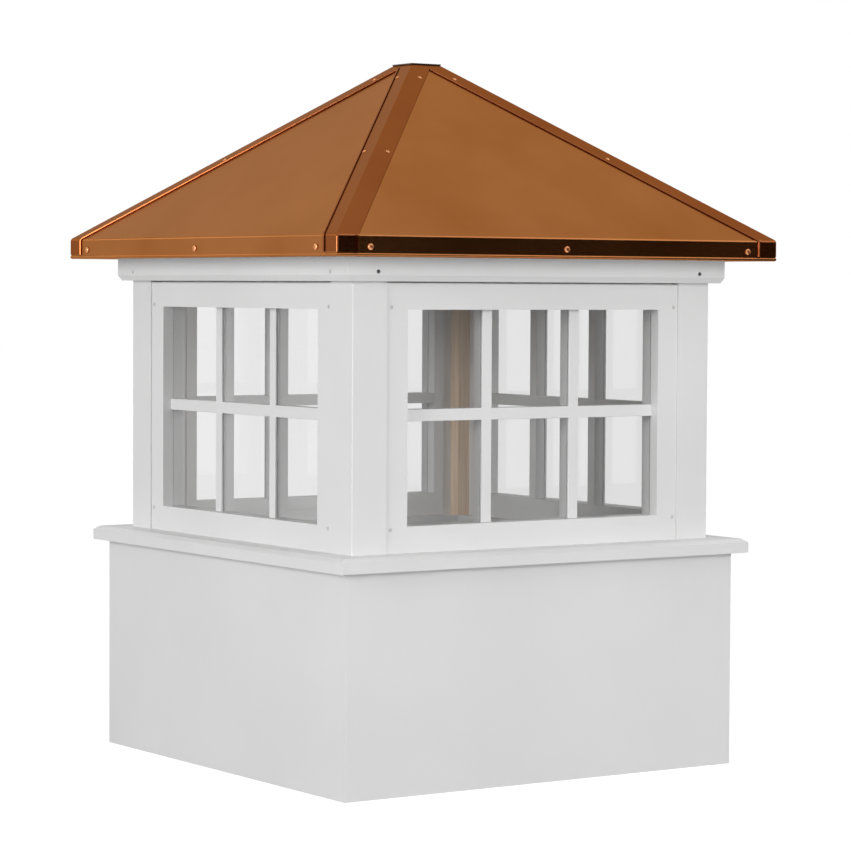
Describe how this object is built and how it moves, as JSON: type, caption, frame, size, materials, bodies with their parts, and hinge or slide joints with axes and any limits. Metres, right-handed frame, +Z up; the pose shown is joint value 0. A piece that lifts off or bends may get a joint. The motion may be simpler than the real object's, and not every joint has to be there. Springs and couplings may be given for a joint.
{
  "type": "roof cupola",
  "caption": "Square roof cupola with a plain base, mitred sill, divided-light windows, corner trims, cornice and a hipped copper roof with lipped eaves.",
  "frame": {"origin": "middle of the base's bottom edge plane", "axes": "+Z up along the roof's axis, -Y out of the front windows, +X to the right of the front"},
  "size_m": [0.866, 0.866, 1.1703],
  "materials": {
    "pvc": "smooth white cellular PVC, low sheen",
    "pine": "sawn pine",
    "plywood": "unpainted plywood",
    "glazing": "clear",
    "copper": "new rolled copper, satin"
  },
  "bodies": {
    "root": {"base_panel_front": "pvc", "base_panel_right": "pvc", "base_panel_back": "pvc", "base_panel_left": "pvc", "sill_front": "pvc", "sill_right": "pvc", "sill_back": "pvc", "sill_left": "pvc", "corner_trim_front_left": "pvc", "corner_trim_front_right": "pvc", "corner_trim_back_right": "pvc", "corner_trim_back_left": "pvc", "corner_post_front_left": "pine", "corner_post_front_right": "pine", "corner_post_back_right": "pine", "corner_post_back_left": "pine", "window_panel_front": "pvc", "window_panel_right": "pvc", "window_panel_back": "pvc", "window_panel_left": "pvc", "window_frame_front": "pvc", "window_frame_right": "pvc", "window_frame_back": "pvc", "window_frame_left": "pvc", "window_glass_front": "glazing", "window_glass_right": "glazing", "window_glass_back": "glazing", "window_glass_left": "glazing", "cornice_front": "pvc", "cornice_right": "pvc", "cornice_back": "pvc", "cornice_left": "pvc", "soffit": "pvc", "roof_deck_front": "plywood", "roof_deck_right": "plywood", "roof_deck_back": "plywood", "roof_deck_left": "plywood", "roof_slope_front": "copper", "roof_slope_right": "copper", "roof_slope_back": "copper", "roof_slope_left": "copper", "hip_cap_front_left": "copper", "hip_cap_front_right": "copper", "hip_cap_back_right": "copper", "hip_cap_back_left": "copper", "roof_cap": "copper"}
  },
  "joints": []
}
